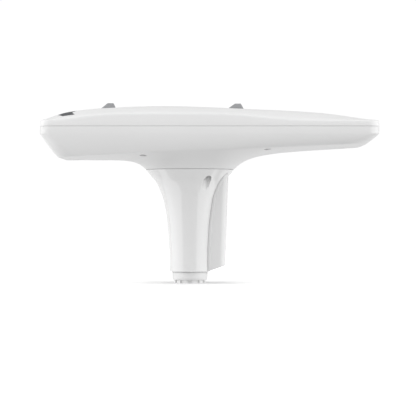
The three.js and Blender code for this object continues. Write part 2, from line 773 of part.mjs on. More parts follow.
function coverBlank(levels, inset, front, recess = 0) {
  const rings = levels.map((z) => coverSection(z, inset, front, recess)).reverse();
  const cap = (z) => [[(front + coverRear(z)) / 2, 0, z]];
  return skin([cap(levels.at(-1)), ...rings, cap(levels[0])]);
}

function cableCover() {
  const channel = coverBlank([0, 40, 70, 84, 95, 103], COVER_WALL, 5);
  // The bottom edge climbs towards the rear.
  const bottom = block([-40, 60], [-40, 40], [-30, 0]).rotateY(-0.335).translate(20, 0, 12.6);
  const whole = solid(coverBlank(COVER_LEVELS, 0, COVER_FRONT));
  const lip = whole.intersect(solid(stemEnvelope(COVER_LIP.width)));
  const sunk = coverBlank(COVER_LEVELS, 0, COVER_FRONT, COVER_LIP.depth);
  const shell = cut(join(sunk, lip), stemEnvelope(GAP), channel, bottom);
  // Four tabs reach into the window of the stem and hold the cover on by friction.
  const tabs = [-1, 1].flatMap((side) =>
    [[40, 48], [78, 86]].map((z) => {
      const [near, far] = [WINDOW.half - 2.6, WINDOW.half - 0.5].map((y) => side * y);
      return block([15, coverRear(z[0]) - 8], [Math.min(near, far), Math.max(near, far)], z);
    }),
  );
  const ribs = [[40, 48], [78, 86]].map((z) =>
    block([coverRear(z[0]) - 10, coverRear(z[0]) - 1.6], [-7.9, 7.9], z),
  );
  return join(shell, ...tabs, ...ribs);
}

piece("cable_cover", cableCover(), "stem");

// ---------------------------------------------------------------- foot

const INSERT_R = 14.2;

function swivelNut() {
  const [sealLow, sealHigh] = [15, 17.4];
  const [ringLow, ringHigh] = [21.3, 22.8];
  const body = turned(
    [
      [RIM_R, 0],
      [RIM_R, RIM_H],
      [FOOT_R - 0.9, RIM_H],
      [FOOT_R, RIM_H + 1.8],
      [FOOT_R, STEM_FOOT_Z - GAP],
      [SLEEVE_R, STEM_FOOT_Z - GAP],
      [SLEEVE_R, sealLow],
      [SLEEVE_R - 1.2, sealLow],
      [SLEEVE_R - 1.2, sealHigh],
      [SLEEVE_R, sealHigh],
      [SLEEVE_R, ringLow],
      [SLEEVE_R - 1.2, ringLow],
      [SLEEVE_R - 1.2, ringHigh],
      [SLEEVE_R, ringHigh],
      [SLEEVE_R, SLEEVE_TOP_Z],
      [THREAD_R + 0.6, SLEEVE_TOP_Z],
      [THREAD_R + 0.6, 22.3],
      [INSERT_R + GAP, 22.3],
      [INSERT_R + GAP, 0],
    ],
    24,
  );
  const notches = Array.from({ length: NOTCHES }, (_, i) =>
    block([15.2, 20], [-2.2, 2.2], [-1, RIM_H - 0.2]).rotateZ((i * 2 * Math.PI) / NOTCHES),
  );
  return cut(body, ...notches);
}

// Open snap ring with a gap towards the stern.
function retainingRing() {
  const gap = block([10, 25], [-4, 4], [20, 24]);
  return cut(ring(SLEEVE_R - 0.9, 18.6, [21.5, 22.6]), gap);
}

piece("swivel_nut", swivelNut(), "nut");
piece("thread_insert", ring(THREAD_R, INSERT_R, [0, 22]), "brass");
piece("foot_seal", ring(SLEEVE_R - 0.9, SLEEVE_R + 0.1, [15.3, 17.1]), "rubber");
piece("thrust_washer", ring(SLEEVE_R + GAP, 18.6, [LEDGE_Z + GAP, 21.2]), "plastic");
piece("retaining_ring", retainingRing(), "steel");

export default antenna;
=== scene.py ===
import math

import bmesh
import bpy
from mathutils import Matrix, Vector

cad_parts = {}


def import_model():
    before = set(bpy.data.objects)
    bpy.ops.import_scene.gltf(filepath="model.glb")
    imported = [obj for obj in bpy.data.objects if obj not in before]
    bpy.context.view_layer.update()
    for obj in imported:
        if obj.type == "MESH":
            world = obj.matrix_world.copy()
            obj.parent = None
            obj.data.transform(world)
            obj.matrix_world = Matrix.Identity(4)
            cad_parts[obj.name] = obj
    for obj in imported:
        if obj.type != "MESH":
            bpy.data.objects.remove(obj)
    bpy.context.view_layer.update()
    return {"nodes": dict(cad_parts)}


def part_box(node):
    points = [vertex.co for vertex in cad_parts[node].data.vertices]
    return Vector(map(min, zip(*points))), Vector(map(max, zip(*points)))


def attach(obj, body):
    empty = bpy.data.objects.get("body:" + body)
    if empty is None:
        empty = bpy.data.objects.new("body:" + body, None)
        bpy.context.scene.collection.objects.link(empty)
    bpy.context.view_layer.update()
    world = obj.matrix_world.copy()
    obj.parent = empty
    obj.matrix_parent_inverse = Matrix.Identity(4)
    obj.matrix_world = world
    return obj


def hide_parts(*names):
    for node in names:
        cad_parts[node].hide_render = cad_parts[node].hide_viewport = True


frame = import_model()

MM = 0.001
GAP = 0.3

# ------------------------------------------------------------------ sizes, in mm, as in the CAD

low, high = [[v / MM for v in corner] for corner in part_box("upper_radome")]
BOW, STERN, HALF_WIDTH = -low[0], high[0], high[1]
CORNER = 12.5
SEAM_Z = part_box("housing_seal")[1][2] / MM
SEAM_HALF_GAP = 0.1
SEAM_LIP = 0.15
RIM_UPPER = SEAM_Z + SEAM_HALF_GAP
RIM_LOWER = SEAM_Z - SEAM_HALF_GAP
WALL_FOOT_Z = 156.5
RAKE_BOW, RAKE_STERN, RAKE_SIDE = 17, 12, 9
CREASE_CORNER = 23
EDGE_R = 2
WALL = 3
INNER_INSET = WALL + 0.6
NECK_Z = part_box("lower_housing")[0][2] / MM
NECK_R = 47.2
NECK_FLOOR = 3.2
NECK_SLOPE = 1.05
NECK_BEND = 1.2
CABLE_HOLE_R = 8.2
STEM_TOP_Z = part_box("stem_shell")[1][2] / MM
STEM_FOOT_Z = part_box("stem_shell")[0][2] / MM
FOOT_R = 19.05
RIM_R = 16.8
RIM_H = 3.2
SLEEVE_R = 16.9
HOUSING_SCREWS = [(-48, -59), (-48, 59), (81, -59), (81, 59), (-119, 0), (162, 0)]
HOUSING_SEAT = 5
HOUSING_BORE_R, HOUSING_BORE_DEPTH = 3.65, 12
HOUSING_SCREW = {"head_r": 3.25, "head_h": 2.6, "shank_r": 1.9, "length": 12.9, "socket_r": 1.6}
STEM_SCREW_RING = 36.5
STEM_SCREW_ANGLES = [-60, 60, 180]
STEM_SCREW_SEAT_Z = 117
STEM_BORE_R, STEM_BORE_FOOT_Z, STEM_HOLE_R, STEM_INSERT_BORE_R = 4.65, 85, 2.8, 3.9
STEM_SCREW = {"head_r": 4.2, "head_h": 2.8, "shank_r": 2.4, "length": 10.9, "socket_r": 2}


# ------------------------------------------------------------------ mesh tools

def heights(points):
    """A smooth height over x through a few points, the curve that the CAD uses."""
    slopes = []
    for i in range(len(points)):
        a, b = points[max(i - 1, 0)], points[min(i + 1, len(points) - 1)]
        slopes.append((b[1] - a[1]) / (b[0] - a[0]))

    def at(x):
        i = next((k for k, p in enumerate(points) if p[0] > x), len(points) - 1) - 1
        i = min(max(i, 0), len(points) - 2)
        (x0, z0), (x1, z1) = points[i], points[i + 1]
        span = x1 - x0
        t = min(max((x - x0) / span, 0), 1)
        rise = z0 + (z1 - z0) * t * t * (3 - 2 * t)
        return rise + span * t * (1 - t) * (slopes[i] * (1 - t) - slopes[i + 1] * t)

    return at


def lerp(a, b, t):
    return a + (b - a) * t


def new_object(name, mesh, crease_deg=35):
    mesh.update()
    for polygon in mesh.polygons:
        polygon.use_smooth = True
    mesh.set_sharp_from_angle(angle=math.radians(crease_deg))
    made = bpy.data.objects.new(name, mesh)
    bpy.context.scene.collection.objects.link(made)
    return made


def skin(name, rings, looped=False, crease_deg=35):
    """Quads over rings of points in mm, counter-clockwise from above, as in the CAD."""
    vertices = [tuple(v * MM for v in p) for r in rings for p in r]
    starts = [sum(len(r) for r in rings[:k]) for k in range(len(rings))]
    faces = []
    for k in range(len(rings) if looped else len(rings) - 1):
        following = (k + 1) % len(rings)
        a, b = len(rings[k]), len(rings[following])
        n = max(a, b)
        for i in range(n):
            j = (i + 1) % n
            a0, a1 = starts[k] + i % a, starts[k] + j % a
            b0, b1 = starts[following] + i % b, starts[following] + j % b
            face = [a0, b0, b1, a1]
            if b == 1:
                face = [a0, b0, a1]
            if a == 1:
                face = [a0, b0, b1]
            faces.append(face)
    mesh = bpy.data.meshes.new(name)
    mesh.from_pydata(vertices, [], faces)
    return new_object(name, mesh, crease_deg)


def circle(radius, z, sides, centre=(0, 0)):
    turns = [2 * math.pi * i / sides for i in range(sides)]
    return [(centre[0] + radius * math.cos(a), centre[1] + radius * math.sin(a), z) for a in turns]


def turned(name, profile, sides=96, centre=(0, 0), looped=True, crease_deg=35):
    """A lathe body. The profile runs from the top outwards, down, inwards and up."""
    rings = []
    for radius, z in profile:
        rings.append([(*centre, z)] if radius == 0 else circle(radius, z, sides, centre))
    return skin(name, rings, looped, crease_deg)


def rod(name, radius, z0, z1, centre=(0, 0), sides=48):
    return turned(name, [(0, z1), (radius, z1), (radius, z0), (0, z0)], sides, centre, looped=False)


def block(name, xs, ys, zs, turn=0):
    """A box for cutting, turned about Z by `turn` degrees."""
    mesh = bpy.data.meshes.new(name)
    box = bmesh.new()
    bmesh.ops.create_cube(box, size=1)
    size = Matrix.Diagonal((xs[1] - xs[0], ys[1] - ys[0], zs[1] - zs[0], 1))
    middle = Matrix.Translation(((xs[0] + xs[1]) / 2, (ys[0] + ys[1]) / 2, (zs[0] + zs[1]) / 2))
    place = Matrix.Rotation(math.radians(turn), 4, "Z") @ middle @ size
    bmesh.ops.transform(box, matrix=Matrix.Scale(MM, 4) @ place, verts=box.verts)
    box.to_mesh(mesh)
    box.free()
    return new_object(name, mesh)


def applied(obj, crease_deg=35):
    """Applies the modifiers of obj to its mesh."""
    graph = bpy.context.evaluated_depsgraph_get()
    mesh = bpy.data.meshes.new_from_object(obj.evaluated_get(graph))
    obj.modifiers.clear()
    obj.data = mesh
    for polygon in mesh.polygons:
        polygon.use_smooth = True
    mesh.set_sharp_from_angle(angle=math.radians(crease_deg))
    return obj


def boolean(obj, tools, operation="DIFFERENCE", crease_deg=35):
    for tool in tools:
        step = obj.modifiers.new("cut", "BOOLEAN")
        step.operation = operation
        step.solver = "EXACT"
        step.object = tool
    applied(obj, crease_deg)
    for tool in tools:
        bpy.data.objects.remove(tool)
    return obj


def bevelled(obj, width, segments=3, angle=35):
    step = obj.modifiers.new("bevel", "BEVEL")
    step.width = width * MM
    step.segments = segments
    step.limit_method = "ANGLE"
    step.angle_limit = math.radians(angle)
    step.harden_normals = False
    return applied(obj)


def stand_for(obj, material, slot, body, *nodes):
    """obj is shown in place of its CAD nodes and moves with their body."""
    obj.data.materials.clear()
    obj.data.materials.append(material)
    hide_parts(*nodes)
    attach(obj, body)
    return obj


# ------------------------------------------------------------------ materials

GRAIN_DEPTH = 0.0002
MIN_ROUGHNESS = 0.02


def shade(name, colour, roughness, *, metallic=0.0, grain=0.0, grain_scale=900, mottle=0.015,
          mottle_scale=14, rough_spread=0.05, specular=0.5, sheen_line=None):
    """A surface with mottled colour, uneven roughness and a fine bump, in object coordinates."""
    material = bpy.data.materials.new(name)
    material.use_nodes = True
    nodes, links = material.node_tree.nodes, material.node_tree.links
    surface = nodes["Principled BSDF"]
    surface.inputs["Metallic"].default_value = metallic
    surface.inputs["Specular IOR Level"].default_value = specular
    place = nodes.new("ShaderNodeTexCoord")
    stretch = nodes.new("ShaderNodeMapping")
    stretch.inputs["Scale"].default_value = sheen_line or (1, 1, 1)
    links.new(place.outputs["Object"], stretch.inputs["Vector"])

    broad = nodes.new("ShaderNodeTexNoise")
    broad.inputs["Scale"].default_value = mottle_scale
    broad.inputs["Detail"].default_value = 4
    links.new(stretch.outputs["Vector"], broad.inputs["Vector"])
    ramp = nodes.new("ShaderNodeValToRGB")
    ramp.color_ramp.elements[0].position = 0.3
    ramp.color_ramp.elements[1].position = 0.7
    ramp.color_ramp.elements[0].color = (*[c * (1 - mottle) for c in colour], 1)
    ramp.color_ramp.elements[1].color = (*[min(c * (1 + mottle), 1) for c in colour], 1)
    links.new(broad.outputs["Fac"], ramp.inputs["Fac"])
    links.new(ramp.outputs["Color"], surface.inputs["Base Color"])

    rough = nodes.new("ShaderNodeMapRange")
    rough.inputs["To Min"].default_value = max(roughness - rough_spread, MIN_ROUGHNESS)
    rough.inputs["To Max"].default_value = roughness + rough_spread
    links.new(broad.outputs["Fac"], rough.inputs["Value"])
    links.new(rough.outputs["Result"], surface.inputs["Roughness"])
    if grain:
        fine = nodes.new("ShaderNodeTexNoise")
        fine.inputs["Scale"].default_value = grain_scale
        fine.inputs["Detail"].default_value = 3
        links.new(stretch.outputs["Vector"], fine.inputs["Vector"])
        bump = nodes.new("ShaderNodeBump")
        bump.inputs["Strength"].default_value = grain
        bump.inputs["Distance"].default_value = GRAIN_DEPTH
        links.new(fine.outputs["Fac"], bump.inputs["Height"])
        links.new(bump.outputs["Normal"], surface.inputs["Normal"])
    return material


radome_white = shade("radome_white", (0.785, 0.785, 0.785), 0.45, grain=0.12, grain_scale=1400,
                     mottle=0.008)
housing_white = shade("housing_white", (0.745, 0.745, 0.745), 0.32, grain=0.14, grain_scale=1400,
                      mottle=0.01)
stem_white = shade("stem_white", (0.765, 0.765, 0.765), 0.05, grain=0.01, grain_scale=300,
                   mottle=0.008, rough_spread=0.015, specular=0.9)
nut_white = shade("nut_white", (0.73, 0.73, 0.73), 0.4, grain=0.25, grain_scale=1600)
sight_grey = shade("sight_grey", (0.33, 0.335, 0.345), 0.5, grain=0.3, grain_scale=1800)
mark_grey = shade("mark_grey", (0.06, 0.063, 0.07), 0.45, grain=0.2, grain_scale=1800)
rubber = shade("rubber", (0.025, 0.025, 0.027), 0.75, grain=0.4, grain_scale=1500, mottle=0.15)
steel = shade("steel", (0.6, 0.61, 0.62), 0.28, metallic=1, grain=0.2, grain_scale=400,
              mottle=0.06, sheen_line=(1, 1, 12))
# Near-black steel for the screws: painted shade, so their deep bores read as dark as shadow.
dark_steel = shade("dark_steel", (0.03, 0.03, 0.032), 0.4, grain=0.2, grain_scale=600, mottle=0.1)
brass = shade("brass", (0.62, 0.44, 0.2), 0.3, metallic=1, grain=0.2, grain_scale=500, mottle=0.08,
              sheen_line=(1, 1, 9))
nickel = shade("nickel", (0.66, 0.64, 0.6), 0.22, metallic=1, grain=0.1, grain_scale=500,
               mottle=0.05, sheen_line=(1, 1, 9))
aluminium = shade("aluminium", (0.72, 0.73, 0.74), 0.38, metallic=1, grain=0.25, grain_scale=300,
                  mottle=0.04, sheen_line=(1, 14, 1))
tin = shade("tin", (0.7, 0.71, 0.71), 0.25, metallic=1, grain=0.15, grain_scale=200, mottle=0.05)
ceramic = shade("ceramic", (0.68, 0.62, 0.5), 0.55, grain=0.3, grain_scale=2200, mottle=0.05)
black_plastic = shade("black_plastic", (0.03, 0.031, 0.034), 0.45, grain=0.3, grain_scale=1500,
                      mottle=0.1)
lead_black = shade("lead_black", (0.03, 0.03, 0.032), 0.5, grain=0.3, grain_scale=1200, mottle=0.1)
vent_grey = shade("vent_grey", (0.12, 0.13, 0.14), 0.55, grain=0.3, grain_scale=1500, mottle=0.08)


def board_material():
    """Green solder mask over a grid of copper traces."""
    material = shade("board_green", (0.02, 0.13, 0.06), 0.35, grain=0.1, grain_scale=800, mottle=0.1)
    nodes, links = material.node_tree.nodes, material.node_tree.links
    place = nodes.new("ShaderNodeTexCoord")
    tracks = nodes.new("ShaderNodeTexBrick")
    tracks.inputs["Scale"].default_value = 60
    tracks.inputs["Color1"].default_value = (0.02, 0.13, 0.06, 1)
    tracks.inputs["Color2"].default_value = (0.03, 0.17, 0.08, 1)
    tracks.inputs["Mortar"].default_value = (0.05, 0.24, 0.12, 1)
    tracks.inputs["Mortar Size"].default_value = 0.04
    links.new(place.outputs["Object"], tracks.inputs["Vector"])
    links.new(tracks.outputs["Color"], nodes["Principled BSDF"].inputs["Base Color"])
    return material


board_green = board_material()

# ------------------------------------------------------------------ surfaces of the housing

crown = heights([(-154, 171.5), (-139, 179.3), (-122, 183.2), (-96, 186), (-28, 188.5),
                 (58, 185.6), (139, 181.2), (196, 172.2)])
shoulder = heights([(-154, 170.4), (-135, 171), (-98, 175.5), (-60, 177.2), (10, 177.2),
                    (50, 176), (92, 172), (120, 170.6), (196, 170)])
crease = heights([(-137, 132.6), (-115, 133.6), (-48, 137.3), (30, 140.4), (86, 143.1),
                  (184, 146.8)])
keel = heights([(-137, 132.8), (-110, 131.6), (-80, 131.5), (0, 135), (60, 138.3),
                (100, 140.5), (160, 143.8), (184, 146.2)])


def top_height(x, y):
    """Height of the radome's top: the crown on the centreline, the shoulder at the sides."""
    across = min(abs(y) / HALF_WIDTH, 1)
    return lerp(crown(x), shoulder(x), across ** 2.2)


def hull_height(x, y):
    """Height of the underside without the neck: the keel, rising to the crease."""
    across = min(abs(y) / (HALF_WIDTH - RAKE_SIDE), 1)
    return lerp(keel(x), crease(x), across ** 2)


def reach_of(x, y):
    """Distance from the stem's axis to the crease, in the direction of a point."""
    ahead = BOW - RAKE_BOW if x < 0 else STERN - RAKE_STERN
    ends = ahead / max(abs(x), 1e-6)
    sides = (HALF_WIDTH - RAKE_SIDE) / max(abs(y), 1e-6)
    return math.hypot(x, y) * min(ends, sides)


def under_height(x, y):
    """Height of the underside with the neck flowing out of it."""
    rise = hull_height(x, y) - NECK_Z
    out = max(math.hypot(x, y) - NECK_R, 0)
    whole = max(reach_of(x, y) - NECK_R, 1)
    bend = (NECK_SLOPE * whole / rise - 1) / whole ** NECK_BEND
    return NECK_Z + min(NECK_SLOPE * out / (1 + bend * out ** NECK_BEND), rise)


ARC_STEPS, SIDE_STEPS, END_STEPS = 14, 72, 30


def outline(to_bow, to_stern, to_side, radius):
    """Points round a rectangle with rounded corners, always the same number in the same order."""
    bow, stern, half = radius - to_bow, to_stern - radius, to_side - radius
    first = math.atan((BOW - CORNER) / HALF_WIDTH)
    last = math.atan((STERN - CORNER) / HALF_WIDTH)
    points = []

    def corner(x, y, start):
        for i in range(ARC_STEPS + 1):
            a = start + math.pi / 2 * i / ARC_STEPS
            points.append((x + radius * math.cos(a), y + radius * math.sin(a)))

    def share(i):
        a = lerp(-first, last, i / SIDE_STEPS)
        return (math.tan(a) + math.tan(first)) / (math.tan(last) + math.tan(first))

    corner(bow, -half, math.pi)
    points += [(lerp(bow, stern, share(i)), -half - radius) for i in range(1, SIDE_STEPS)]
    corner(stern, -half, -math.pi / 2)
    points += [(stern + radius, lerp(-half, half, i / END_STEPS)) for i in range(1, END_STEPS)]
    corner(stern, half, 0)
    points += [(lerp(bow, stern, share(i)), half + radius) for i in range(SIDE_STEPS - 1, 0, -1)]
    corner(bow, half, math.pi / 2)
    points += [(bow - radius, lerp(-half, half, i / END_STEPS)) for i in range(END_STEPS - 1, 0, -1)]
    return points


def plan(inset):
    """The plan of the wall, set in by `inset` all round."""
    return outline(BOW - inset, STERN - inset, HALF_WIDTH - inset, max(CORNER - inset, 4))


def crease_plan(inset):
    """The plan of the crease, set in by `inset` all round."""
    return outline(BOW - RAKE_BOW - inset, STERN - RAKE_STERN - inset,
                   HALF_WIDTH - RAKE_SIDE - inset, CREASE_CORNER)


def level(inset, z):
    """A flat ring round the wall, set in by `inset`."""
    return [(x, y, z) for x, y in plan(inset)]


# ------------------------------------------------------------------ upper radome and its marks

PLAN_CENTRE = (STERN - BOW) / 2
TOP_RINGS = [0.02, 0.06, 0.12, 0.2, 0.28, 0.36, 0.44, 0.52, 0.6, 0.68, 0.75, 0.81, 0.86, 0.9, 0.93]


def top_rings(inset, depth):
    """Rings of the top from its middle outwards, `depth` under the outer surface."""
    rings = [[(PLAN_CENTRE, 0, top_height(PLAN_CENTRE, 0) - depth)]]
    for share in TOP_RINGS:
        ring = []
        for px, py in plan(inset):
            x, y = PLAN_CENTRE + (px - PLAN_CENTRE) * share, py * share
            ring.append((x, y, top_height(x, y) - depth))
        rings.append(ring)
    return rings


def edge_ring(turn):
    """The rounded edge of the top: turn 0 is on the wall and 1 on the top."""
    inset = EDGE_R * (1 - math.cos(turn * math.pi / 2))
    drop = EDGE_R * (1 - math.sin(turn * math.pi / 2))
    return [(x, y, top_height(x, y) - drop) for x, y in plan(inset)]


def upper_radome():
    """The domed cover as a shell, with a small lip at the seam."""
    edge_steps = 8
    rings = [*top_rings(0, 0), *[edge_ring(t / edge_steps) for t in range(edge_steps, -1, -1)]]
    rings += [
        level(0, RIM_UPPER + SEAM_LIP),
        level(SEAM_LIP * 0.3, RIM_UPPER + SEAM_LIP * 0.3),
        level(SEAM_LIP, RIM_UPPER),
        level(INNER_INSET, RIM_UPPER),
        [(x, y, top_height(x, y) - WALL - 2) for x, y in plan(INNER_INSET)],
        *reversed(top_rings(INNER_INSET, WALL)),
    ]
    return skin("radome_skin", rings, crease_deg=50)


def sight(name, front):
    """A fin with a long ramp and rounded edges, seated in the top."""
    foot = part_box(name)[0][2] / MM
    length, ramp, flat, height, width = 16.5, 7.4, 6.2, 5.8, 4.4
    crest = top_height(front + length / 2, 0) + height
    rise = top_height(front, 0) + 0.3
    side = [(0, foot), (length, foot), (length, rise), (ramp + flat, crest), (ramp, crest), (0, rise)]
    mesh = bpy.data.meshes.new(name + "_skin")
    fin = bmesh.new()
    near = [fin.verts.new(((front + x) * MM, -width / 2 * MM, z * MM)) for x, z in side]
    far = [fin.verts.new(((front + x) * MM, width / 2 * MM, z * MM)) for x, z in side]
    fin.faces.new(near)
    fin.faces.new(list(reversed(far)))
    for i in range(len(side)):
        fin.faces.new([near[(i + 1) % len(side)], near[i], far[i], far[(i + 1) % len(side)]])
    bmesh.ops.recalc_face_normals(fin, faces=fin.faces)
    fin.to_mesh(mesh)
    fin.free()
    return bevelled(new_object(name + "_skin", mesh), 0.55, 4)


def bow_arrow(side):
    """A plain arrow of thin material that follows the slope of the top."""
    tip, wing, tail, notch, middle, half = -137, -131, -118.5, 4, 50, 17
    proud, sunk = 0.1, 0.9
    steps = 24
    grids = []
    for depth in (-proud, sunk):
        grid = []
        for i in range(steps + 1):
            row = []
            for j in range(-steps, steps + 1):
                out = j / steps
                back = tail - notch * (1 - abs(out))
                front = lerp(tip, wing, abs(out))
                x, y = lerp(front, back, i / steps), side * (middle + out * half)
                row.append((x, y, top_height(x, y) - depth))
            grid.append(row)
        grids.append(grid)
    vertices = [tuple(v * MM for v in p) for grid in grids for row in grid for p in row]
    wide = 2 * steps + 1
    under = (steps + 1) * wide
    faces = []
    for i in range(steps):
        for j in range(2 * steps):
            a = i * wide + j
            faces.append([a, a + wide, a + wide + 1, a + 1])
            faces.append([under + a, under + a + 1, under + a + wide + 1, under + a + wide])
    rim = list(range(wide)) + [i * wide + wide - 1 for i in range(1, steps + 1)]
    rim += [steps * wide + j for j in range(wide - 2, -1, -1)]
    rim += [i * wide for i in range(steps - 1, 0, -1)]
    for a, b in zip(rim, rim[1:] + rim[:1]):
        faces.append([a, b, under + b, under + a])
    mesh = bpy.data.meshes.new("bow_arrow_skin")
    mesh.from_pydata(vertices, [], faces)
    tidy = bmesh.new()
    tidy.from_mesh(mesh)
    bmesh.ops.remove_doubles(tidy, verts=tidy.verts, dist=1e-6)
    bmesh.ops.recalc_face_normals(tidy, faces=tidy.faces)
    tidy.to_mesh(mesh)
    tidy.free()
    return new_object("bow_arrow_skin", mesh, 40)


stand_for(upper_radome(), radome_white, "radome_white", "antenna", "upper_radome")
for name in ("front_sight", "rear_sight"):
    fin = sight(name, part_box(name)[0][0] / MM)
    stand_for(fin, sight_grey, "sight_grey", "antenna", name)
stand_for(bow_arrow(-1), mark_grey, "mark_grey", "antenna", "bow_arrow_port")
stand_for(bow_arrow(1), mark_grey, "mark_grey", "antenna", "bow_arrow_starboard")

# ------------------------------------------------------------------ lower housing


def rake_ring(share):
    """The raked faces, from the wall's foot (0) to the crease (1)."""
    in_side = RAKE_SIDE * (0.25 * share + 0.75 * share ** 2)
    bent = lerp(share, math.sin(share * math.pi / 2), 0.2)
    ring = outline(BOW - RAKE_BOW * share, STERN - RAKE_STERN * share, HALF_WIDTH - in_side,
                   lerp(CORNER, CREASE_CORNER, share))
    return [(x, y, lerp(WALL_FOOT_Z, under_height(*foot), bent))
            for (x, y), foot in zip(ring, crease_plan(0))]


def under_ring(share, neck_r, inset, lift):
    """A ring on the underside, from the neck (0) to the crease (1), raised by `lift`."""
    ring = []
    for cx, cy in crease_plan(inset):
        reach = math.hypot(cx, cy)
        radius = lerp(neck_r, reach, share)
        x, y = cx * radius / reach, cy * radius / reach
        ring.append((x, y, under_height(x, y) + lift))
    return ring


def circle_ring(radius, z):
    """A circle with a point for each point of the plan."""
    ring = []
    for x, y in crease_plan(0):
        reach = math.hypot(x, y)
        ring.append((x * radius / reach, y * radius / reach, z))
    return ring


def seat_of(at):
    """Height at which the head of a housing screw seats."""
    return under_height(*at) + HOUSING_SEAT


def stem_screw_at(degrees):
    a = math.radians(degrees)
    return STEM_SCREW_RING * math.cos(a), STEM_SCREW_RING * math.sin(a)


def lower_housing():
    """The tray: wall, raked faces, underside and neck, then back up inside."""
    rake_steps, under_steps, neck_edge, lift, crease_deg = 14, 26, 0.3, 3.6, 28
    shares = [1 - (i / under_steps) ** 0.75 for i in range(1, under_steps)]
    rings = [
        level(SEAM_LIP, RIM_LOWER),
        level(SEAM_LIP * 0.3, RIM_LOWER - SEAM_LIP * 0.3),
        level(0, RIM_LOWER - SEAM_LIP),
        *[rake_ring(s / rake_steps) for s in range(rake_steps + 1)],
        *[under_ring(s ** 1.6, NECK_R, 0, 0) for s in shares],
        circle_ring(NECK_R, NECK_Z + neck_edge),
        circle_ring(NECK_R - neck_edge, NECK_Z),
        circle_ring(CABLE_HOLE_R, NECK_Z),
        circle_ring(CABLE_HOLE_R, NECK_Z + NECK_FLOOR),
        circle_ring(NECK_R - WALL, NECK_Z + NECK_FLOOR),
        *[under_ring(s, NECK_R - WALL, WALL, lift) for s in (0.1, 0.25, 0.5, 1)],
        level(INNER_INSET, WALL_FOOT_Z),
        level(INNER_INSET, RIM_LOWER),
    ]
    shell = skin("housing_skin", rings, looped=True, crease_deg=crease_deg)
    tools = [rod("bore", HOUSING_BORE_R, seat_of(at) - HOUSING_BORE_DEPTH, seat_of(at), at)
             for at in HOUSING_SCREWS]
    for degrees in STEM_SCREW_ANGLES:
        tools.append(rod("insert", STEM_INSERT_BORE_R, NECK_Z - 1, NECK_Z + 5, stem_screw_at(degrees)))
    return boolean(shell, tools, crease_deg=crease_deg)


stand_for(lower_housing(), housing_white, "housing_white", "antenna", "lower_housing")


def housing_seal():
    """The gasket in the seam, rounded along its top."""
    outer, inner, edge = 1.5, 2.6, 0.3
    foot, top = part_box("housing_seal")[0][2] / MM, SEAM_Z
    rings = [
        level(outer + edge, top),
        level(outer, top - edge),
        level(outer, foot),
        level(inner, foot),
        level(inner, top - edge),
        level(inner - edge, top),
    ]
    return skin("seal_skin", rings, looped=True)


stand_for(housing_seal(), rubber, "rubber", "antenna", "housing_seal")


def screw_body(name, at, seat, head_r, head_h, shank_r, length, socket_r):
    """Button-head screw: the head hangs under the seat and its socket opens downwards."""
    pitch, edge, edge_steps = 0.8, 0.8, 4
    profile = [(0, seat + length), (shank_r * 0.6, seat + length), (shank_r, seat + length - 0.6)]
    for k in range(int((length - 2) / pitch)):
        z = seat + length - 1 - k * pitch
        profile += [(shank_r, z), (shank_r * 0.86, z - pitch / 2)]
    profile += [(shank_r, seat), (head_r, seat)]
    for k in range(edge_steps + 1):
        a = math.pi / 2 * k / edge_steps
        profile.append((head_r - edge * (1 - math.cos(a)), seat - head_h + edge * (1 - math.sin(a))))
    profile.append((0, seat - head_h))
    body = turned(name, profile, 40, at, looped=False)
    socket = rod("socket", socket_r, seat - head_h - 1, seat - head_h * 0.4, at, sides=6)
    return boolean(body, [socket])


# A screw in the near-black steel, whose colour paints the shade deep in its bore.
def shade_black_screw(node, at, seat, sizes):
    body = screw_body(f"{node}_skin", at, seat - GAP, **sizes)
    stand_for(body, dark_steel, "dark_steel", "antenna", node)


for i, at in enumerate(HOUSING_SCREWS):
    shade_black_screw(f"housing_screw_{i + 1}", at, seat_of(at), HOUSING_SCREW)
for i, degrees in enumerate(STEM_SCREW_ANGLES):
    shade_black_screw(f"stem_screw_{i + 1}", stem_screw_at(degrees), STEM_SCREW_SEAT_Z, STEM_SCREW)

# ------------------------------------------------------------------ stem

STEM_FOOT_R, STEM_TOP_R = 21.8, 46.8
STEM_PROFILE = [(STEM_FOOT_R, STEM_FOOT_Z), (22, 35), (23.2, 56), (24.4, 69), (26.4, 81), (29, 91.5),
                (32.2, 99.5), (36.5, 107.8), (42.2, 115.2), (STEM_TOP_R, STEM_TOP_Z)]
stem_radius = heights([(z, r) for r, z in STEM_PROFILE])
LEDGE_Z, HOLLOW_R, HOLLOW_TOP_R = 20, 19, 30
WINDOW = ((10, 45), (-9, 9), (34, 92))


def stem_side(extra, z0, z1, steps=70):
    """The outer profile of the stem from z1 down to z0, grown by `extra`."""
    levels = [lerp(z1, z0, k / steps) for k in range(steps + 1)]
    return [(stem_radius(z) + extra, z) for z in levels]


